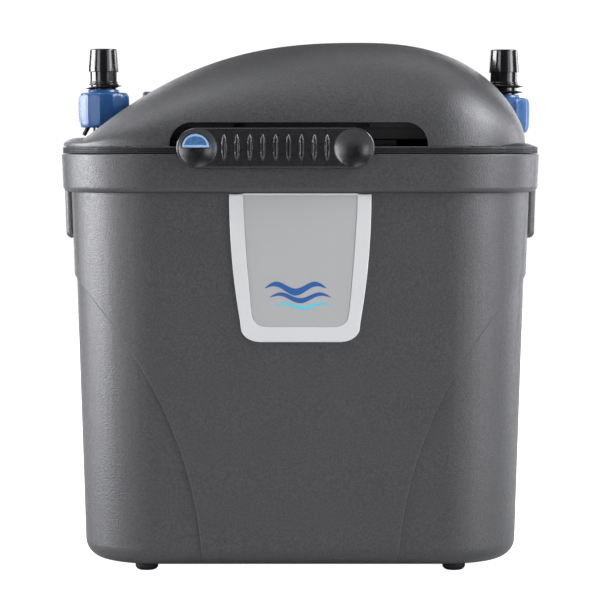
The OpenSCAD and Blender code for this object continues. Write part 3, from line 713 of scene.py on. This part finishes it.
def dome_solid(name, inset, drop, z_low, nx, nv):
    x0, x1 = LEFT_X + inset, RIGHT_X - inset
    xs = [x0 + (x1 - x0) * (0.5 - 0.5 * math.cos(math.pi * i / nx)) for i in range(nx + 1)]
    vs = [-math.cos(math.pi * k / nv) for k in range(nv + 1)]
    verts = []
    for x in xs:
        hd = half_depth(x, x0, x1, END_R - inset, HALF_D - inset)
        for v in vs:
            verts.append((x, v * hd, max(dome_z(x, v) - drop, z_low + 0.5)))
    m = nv + 1
    faces = []
    for i in range(nx):
        for k in range(nv):
            a = i * m + k
            faces.append((a, a + 1, a + m + 1, a + m))
    edge = [i * m for i in range(nx + 1)]
    edge += [nx * m + k for k in range(1, m)]
    edge += [i * m + nv for i in range(nx - 1, -1, -1)]
    edge += [k for k in range(nv - 1, 0, -1)]
    base = len(verts)
    for e in edge:
        verts.append((verts[e][0], verts[e][1], z_low))
    n = len(edge)
    for i in range(n):
        j = (i + 1) % n
        faces.append((edge[i], edge[j], base + j, base + i))
    faces.append(tuple(base + i for i in range(n)))
    return mesh_object(name, verts, faces)


def cover_outline(inset, n=40):
    """The cover's foot seen from above, moved inwards by inset."""
    x0, x1 = LEFT_X + inset, RIGHT_X - inset
    xs = [x0 + (x1 - x0) * (0.5 - 0.5 * math.cos(math.pi * i / n)) for i in range(n + 1)]
    half = [(x, half_depth(x, x0, x1, END_R - inset, HALF_D - inset)) for x in xs]
    return [(x, y) for x, y in half] + [(x, -y) for x, y in half[::-1]]


def slot_cutter():
    """The latch recess: a wide arch-cornered window in the front of the cover."""
    foot, h, r = 54.7, 10.4, 9.4
    pts = [(-foot, -2), (foot, -2)]
    pts += [(foot - r + r * math.cos(math.radians(a)), h - r + r * math.sin(math.radians(a)))
            for a in range(0, 91, 6)]
    pts += [(-foot + r + r * math.cos(math.radians(a)), h - r + r * math.sin(math.radians(a)))
            for a in range(90, 181, 6)]
    return prism_y("slot", [(SLOT_X + x, FLANGE_TOP + z) for x, z in pts], -90, -66)


def make_cover():
    cover = dome_solid("head_cover_dome", 0, 0, COVER_Z, 150, 96)
    ledge = block("ledge", -71, -58, -12, 26, COVER_Z + 0.2, 208.8)
    bevel_edges(ledge, 1.4, 60, lambda p: p.z > 190, 4)
    skirt = [[(x, y, z) for x, y in cover_outline(1.1)] for z in (FLANGE_TOP + 0.03, 186.0)]
    cover = join(cover, ledge, solid_of_rings("skirt", skirt))
    hollow = dome_solid("hollow", 2.2, 2.2, COVER_Z - 1, 90, 60)
    foot = [[(x, y, z) for x, y in cover_outline(2.2)] for z in (FLANGE_TOP - 1, COVER_Z - 0.8)]
    hollow = join(hollow, solid_of_rings("foot", foot))
    walls = [rod("wall", x, PORT_Y, 19.7, 180, 245, 96) for x in (INLET_X, OUTLET_X)]
    bosses = [rod("boss", x, y, 4, 180, 245, 40) for x in (-82, 82) for y in (-44, 44)]
    hollow = cut(hollow, *walls, *bosses)
    cover = cut(cover, hollow)
    pockets = [rod("pocket", x, PORT_Y, 17.5, 180, 245, 128) for x in (INLET_X, OUTLET_X)]
    open_left = block("open", -125, INLET_X, PORT_Y - 17.5, PORT_Y + 17.5, 180, 245)
    open_right = block("open", OUTLET_X, 125, PORT_Y - 17.5, PORT_Y + 17.5, 180, 245)
    cover = cut(cover, *pockets, open_left, open_right, slot_cutter())
    cover = cut(cover, rod_y("gland_hole", -52, 194, 6.1, 60, 90, 48))
    bevel_edges(cover, 0.3, 60, lambda p: abs(p.z - COVER_Z) < 0.05, 2)
    place(cover, "head", "tub_plastic", "head_cover", angle=40)
    # painted shade: the latch recess's walls and ceiling, cut from the grey cover, are coloured
    # black
    cover.data.materials.append(MATERIALS["black_plastic"])
    for poly in cover.data.polygons:
        x, y, z = poly.center / MM
        inner = poly.normal.z < 0.2 and poly.normal.y > -0.1
        if inner and abs(x - SLOT_X) < 57.5 and -74 < y < -60 and z < 198:
            poly.material_index = 1


make_cover()


def make_flange_lip():
    """Smooth outer edge of the head's flange: three layers with fine grooves between them."""
    outer = [(0.45, 181.15), (0.12, 181.3), (0.0, 181.6), (0.0, 181.95), (0.12, 182.05),
             (0.28, 182.1), (0.28, 182.2), (0.12, 182.25), (0.0, 182.35), (0.0, 182.8),
             (0.12, 182.9), (0.28, 182.95), (0.28, 183.05), (0.12, 183.1), (0.0, 183.2),
             (0.0, 183.55), (0.15, 183.85), (0.5, 184.0)]
    rows = [ring(z, 209.0 - 2 * i, 149.0 - 2 * i, 41.5 - i) for i, z in outer]
    rows.append(ring(184.0, 204, 144, 39))
    rows.append(ring(181.15, 204, 144, 39))
    lip = solid_of_rings("head_flange_lip", rows, closed=True)
    return place(lip, "head", "black_plastic", mat=LIP_PLASTIC, angle=50)


def end_x(y, x1, r, half):
    """Where an outline with round corners ends at the right, at a given depth."""
    past = max(0, abs(y) - (half - r))
    return x1 - r + math.sqrt(max(0, r * r - past * past))


def make_flange_ramp():
    """Low slope from the cover's right end down to the flange's edge."""
    n, reach, low = 60, 66, FLANGE_TOP + 0.02
    rows = []
    for i in range(n + 1):
        y = -reach + 2 * reach * i / n
        x0 = end_x(y, RIGHT_X + 0.05, END_R, HALF_D)
        x1 = end_x(y, 104.0, 41.0, 74.0)
        rise = 1.5 * min(1, (reach - abs(y)) / 12 + 0.05)
        rows.append([(x0, y, low), (x1, y, low), (x1, y, low + 0.05), (x1 - 0.6, y, low + 0.25),
                     (x0 + 1, y, low + rise), (x0, y, low + rise)])
    ramp = solid_of_rings("head_flange_ramp", rows)
    ramp = cut(ramp, rod("port_room", OUTLET_X, PORT_Y, 9.5, 183, 187, 96))
    return place(ramp, "head", "black_plastic", mat=LIP_PLASTIC, angle=40)


make_flange_lip()
make_flange_ramp()


# ---------- latch handle and lock button ----------

HANDLE_X, HANDLE_Z = -10.4, 183.5
HANDLE_HALF, HANDLE_R = 41.85, 8.6
HANDLE_FRONT, HANDLE_BACK = -80.0, -75.8
DISHES = (-43.2, 22.4)
DISH_R, DISH_BALL = 8.1, 14
RIBS, RIB_PITCH, RIB_HALF = 9, 5.43, 5.74
BUTTON_X, BUTTON_Z, BUTTON_R = -44.2, 183.7, 5.9


def handle_depth(x, z):
    """How far the handle's face lies behind its front plane at a point."""
    along = max(0, abs(x - HANDLE_X) - (HANDLE_HALF - HANDLE_R))
    to_edge = max(0.0, HANDLE_R - math.hypot(along, z - HANDLE_Z))
    fillet = 1.0
    depth = 0.0
    if to_edge < fillet:
        depth = fillet * (1 - math.sqrt(max(0, 1 - (1 - to_edge / fillet) ** 2)))
    for cx in DISHES:
        rho = math.hypot(x - cx, z - HANDLE_Z)
        if rho < DISH_R:
            rise = math.sqrt(DISH_BALL ** 2 - rho ** 2)
            depth = max(depth, rise - math.sqrt(DISH_BALL ** 2 - DISH_R ** 2))
    zr = z - HANDLE_Z - 0.3
    if abs(zr) < RIB_HALF:
        for k in range(RIBS):
            xr = abs(x - HANDLE_X - (k - RIBS // 2) * RIB_PITCH)
            half = 1.1 * (1 - abs(zr / RIB_HALF) ** 3)
            if xr < half + 0.1:
                lift = min(1, max(0, (half - xr) / 0.4))
                lift = lift * lift * (3 - 2 * lift)
                groove = max(0, 1 - xr / 0.42) * min(1, max(0, (4.8 - abs(zr)) / 0.6))
                depth = min(depth, depth - 0.55 * lift + 0.5 * groove)
    return depth


def make_handle():
    xs = []
    half = HANDLE_HALF
    ends = 34
    for i in range(ends):
        xs.append(-half + 11 * (1 - math.cos(math.pi / 2 * i / ends)))
    x = -half + 11
    while x < half - 11:
        xs.append(x)
        x += 0.16 if abs(x) < 24.5 else 0.3
    for i in range(ends - 1, -1, -1):
        xs.append(half - 11 * (1 - math.cos(math.pi / 2 * i / ends)))
    rows = 72
    vs = [math.sin(math.pi / 2 * (-1 + 2 * k / rows)) for k in range(rows + 1)]
    verts, faces = [], []
    for x in xs:
        along = max(0, abs(x) - (half - HANDLE_R))
        hz = math.sqrt(max(0.0, HANDLE_R ** 2 - along ** 2))
        hz = max(hz, 0.02)
        for v in vs:
            px, pz = HANDLE_X + x, HANDLE_Z + v * hz
            verts.append((px, HANDLE_FRONT + handle_depth(px, pz), pz))
    m = rows + 1
    nx = len(xs)
    for i in range(nx - 1):
        for k in range(rows):
            a = i * m + k
            faces.append((a, a + 1, a + m + 1, a + m))
    edge = [i * m for i in range(nx)]
    edge += [(nx - 1) * m + k for k in range(1, m)]
    edge += [i * m + rows for i in range(nx - 2, -1, -1)]
    edge += [k for k in range(rows - 1, 0, -1)]
    base = len(verts)
    for e in edge:
        verts.append((verts[e][0], HANDLE_BACK, verts[e][2]))
    n = len(edge)
    for i in range(n):
        j = (i + 1) % n
        faces.append((edge[i], edge[j], base + j, base + i))
    faces.append(tuple(base + i for i in range(n)))
    handle = mesh_object("latch_grip", verts, faces)
    handle = cut(handle, half_disc("window", BUTTON_R + 0.25, -0.25, -84, -74))
    return place(handle, "latch", "handle_plastic", "latch_handle", angle=40)


def half_disc(name, r, below, y0, y1, n=48):
    pts = [(r, below)]
    pts += [(r * math.cos(math.pi * i / n), r * math.sin(math.pi * i / n)) for i in range(n + 1)]
    pts += [(-r, below)]
    if below == 0:
        pts = pts[1:-1]
    return prism_y(name, [(BUTTON_X + x, BUTTON_Z + z) for x, z in pts], y0, y1)


def make_button():
    front = HANDLE_FRONT + 1.1
    n = 48
    rows = []
    for r, depth in ((5.9, 1.9), (5.9, 0.35), (5.75, 0.1), (5.55, 0), (4.95, 0.0),
                     (4.75, 0.15), (4.7, 0.45)):
        low = (BUTTON_R - r) * 0.9
        pts = [(r * math.cos(math.pi * i / n), low + (r - low) * math.sin(math.pi * i / n))
               for i in range(n + 1)]
        rows.append([(BUTTON_X + x, front + depth, BUTTON_Z + z) for x, z in pts])
    button = solid_of_rings("lock_button_cap", rows)
    place(button, "lock_button", "button_blue", "lock_button", angle=50)
    # painted highlight: the rim faces get the lighter blue, and the recessed front cap and the back
    # keep button_blue
    button.data.materials.append(BUTTON_RIM_HIGHLIGHT)
    for poly in button.data.polygons:
        centre = poly.center / MM
        poly.material_index = 0 if centre.y > front + 0.4 and len(poly.vertices) > 8 else 1
    stem = rod_y("lock_button_stem", BUTTON_X, 187, 1.7, front + 1.5, -69.0, 32)
    place(stem, "lock_button", "button_blue")


make_handle()
make_button()


# ---------- hose ports, nuts and tails ----------

def make_nut(name, x, z, body, node):
    r, h = 11.7, 15.8
    outer = [(9.5, z), (r - 1.7, z)]
    outer += [(r - 1.2, z + 0.3), (r - 0.75, z + 1.0), (r - 0.4, z + 2.2), (r - 0.15, z + 4),
              (r, z + 7), (r, z + 10), (r - 0.08, z + h - 2.6), (r - 0.25, z + h - 1.5),
              (r - 0.7, z + h - 0.6), (r - 1.4, z + h - 0.1), (r - 2.2, z + h)]
    top = [(7.6, z + h), (7.3, z + h + 0.15), (7.15, z + h + 0.5), (7.1, z + h + 1.2),
           (6.9, z + h + 1.45), (6.1, z + h + 1.5), (6.1, z + h - 1.4), (9.5, z + h - 1.4)]

    def flutes(rr, zz, a):
        if rr < 9.9:
            return rr
        t = ((a - math.radians(11)) / (2 * math.pi) * 12 + 0.5) % 1 - 0.5
        depth = 0.6 * (1 - (2 * abs(t)) ** 2.2)
        fade = min(1, max(0, (zz - z - 0.2) / 2.5)) * min(1, max(0, (z + h - 0.3 - zz) / 1.6))
        return rr - depth * fade

    nut = lathe(name, outer + top, x, PORT_Y, 192, flutes)
    place(nut, body, "nut_blue", node, angle=42)


def make_tail(name, x, z, crest, body, node):
    tip = crest + 10.4
    profile = [(4.8, z), (8.6, z), (8.6, z + 1.6), (5.85, z + 1.6), (5.85, crest - 6.1)]
    profile += [(6.5, crest - 6.1)] + arc(6.6, crest - 5.7, 0.3, -70, 80, 4)
    profile += [(6.3, crest - 5.2)] + arc(6.25, crest - 4.7, 0.25, -80, 80, 4)
    profile += [(6.18, crest - 4.35), (6.22, crest - 0.05)]
    profile += arc(6.72, crest + 0.18, 0.18, -90, 0, 3)
    profile += [(6.84, crest + 1.8), (6.72, crest + 3.6), (6.28, tip - 1.3)]
    profile += arc(5.75, tip - 0.55, 0.5, 5, 90, 5)
    profile += [(5.2, tip), (4.9, tip - 0.25), (4.8, tip - 0.7)]
    place(lathe(name, profile, x, PORT_Y, 80), body, "gloss_black", node, angle=50)


def make_disc(name, x, z, r, body, nodes, lean=0.0):
    """Thin stop disc with a pointed edge."""
    profile = [(5.9, z - 0.75), (r - 1.2, z - 0.3), (r - 0.1, z - 0.06), (r, z),
               (r - 0.1, z + 0.08), (r - 1.2, z + 0.25), (5.9, z + 0.6)]
    disc = lathe(name, profile, 0, 0, 80)
    for v in disc.data.vertices:
        v.co.z += lean * v.co.x
        v.co.x += x * MM
        v.co.y += PORT_Y * MM
    place(disc, body, "rubber", *nodes, angle=50)


def make_inlet_port():
    foot = FLANGE_TOP + 0.02
    profile = [(4.2, foot), (8.1, foot), (7.9, foot + 0.5), (6.6, foot + 1.2),
               (5.4, foot + 2.4), (5.0, foot + 4), (5.0, 194.6), (9.0, 195), (9.2, 195.2),
               (9.2, 204.8), (9.0, 205), (8.3, 205), (8.3, 203.6), (6.3, 203.6), (6.3, 205),
               (4.2, 205)]
    port = lathe("inlet_spigot", profile, INLET_X, PORT_Y, 80)
    place(port, "head", "gloss_black", "inlet_port", angle=50)
    lever = lathe("inlet_stop_lever", [(0.05, 0), (0.8, 0), (0.95, 0.2), (0.95, 7.6),
                                       (0.7, 7.95), (0.05, 8)], 0, 0, 32)
    turn = Matrix.Rotation(math.radians(209), 4, "Y")
    lever.data.transform(Matrix.Translation(Vector((INLET_X - 5.2, PORT_Y - 2, 196.2)) * MM)
                         @ turn)
    place(lever, "head", "gloss_black", angle=50)


def make_outlet_port():
    foot = FLANGE_TOP + 0.02
    profile = [(4.6, foot), (9.0, foot), (8.9, foot + 1.2), (8.2, foot + 1.9),
               (7.2, foot + 2.6), (6.85, foot + 3.6), (6.8, 192.3), (9.0, 192.6),
               (9.2, 192.8), (9.2, 202.4), (9.0, 202.6), (8.3, 202.6), (8.3, 201.2),
               (6.3, 201.2), (6.3, 202.6), (4.6, 202.6)]
    port = lathe("outlet_spigot", profile, OUTLET_X, PORT_Y, 80)
    place(port, "head", "gloss_black", "outlet_port", angle=50)


make_inlet_port()
make_outlet_port()
make_nut("inlet_nut_blue", INLET_X, 192.8, "inlet_nut", "inlet_union_nut")
make_nut("outlet_nut_blue", OUTLET_X, 190.4, "outlet_nut", "outlet_union_nut")
make_tail("inlet_tail_barb", INLET_X, 205.4, 218.1, "inlet_tail", "inlet_hose_tail")
make_tail("outlet_tail_barb", OUTLET_X, 203.0, 217.8, "outlet_tail", "outlet_hose_tail")
make_disc("inlet_disc", INLET_X, 211.2, 8.3, "inlet_tail", ["inlet_stop_ring"], 0.08)
make_disc("outlet_disc_lower", OUTLET_X, 208.95, 8.7, "outlet_tail", ["outlet_stop_rings"])
make_disc("outlet_disc_upper", OUTLET_X, 211.5, 8.7, "outlet_tail", [])


# ---------- filter foam ----------

BASKET_X = 7.5          # middle of both baskets


def make_foam(name, z0, z1, w, d, r, body, slot):
    """A foam block with soft edges and an uneven surface; its CAD node has its slot's name."""
    rings = []
    edge = 2.2
    for k in range(5):
        a = math.pi / 2 * k / 4
        inset = edge * (1 - math.sin(a))
        rings.append(ring(z0 + edge * (1 - math.cos(a)), w - 2 * inset, d - 2 * inset, r - inset))
    for k in range(4, -1, -1):
        a = math.pi / 2 * k / 4
        inset = edge * (1 - math.sin(a))
        rings.append(ring(z1 - edge * (1 - math.cos(a)), w - 2 * inset, d - 2 * inset, r - inset))
    for k in range(1, 9):
        f = 1 - k / 9
        rings.append(ring(z1, (w - 4.4) * f, (d - 4.4) * f, (r - 2.2) * f))
    pad = solid_of_rings(name, [[(x + BASKET_X, y, z) for x, y, z in row] for row in rings])
    for v in pad.data.vertices:
        p = v.co / MM
        shift = 0.35 * (noise.noise(p * 0.11) - 0.6)
        v.co += (v.normal * shift) * MM
    place(pad, body, slot, slot, angle=60)


make_foam("coarse_foam_block", 11, 80.4, 156, 115, 23, "lower_basket", "coarse_foam")
make_foam("fine_foam_block", 85, 107, 159, 118, 23, "upper_basket", "fine_foam")


# ---------- finishes of the CAD nodes that stay ----------

slots = {s["node"]: s["material_slot"] for s in frame["record"]["subparts"]}
for node, obj in frame["nodes"].items():
    if obj.hide_render:
        continue
    obj.data.materials.clear()
    obj.data.materials.append(MATERIALS[slots[node]])
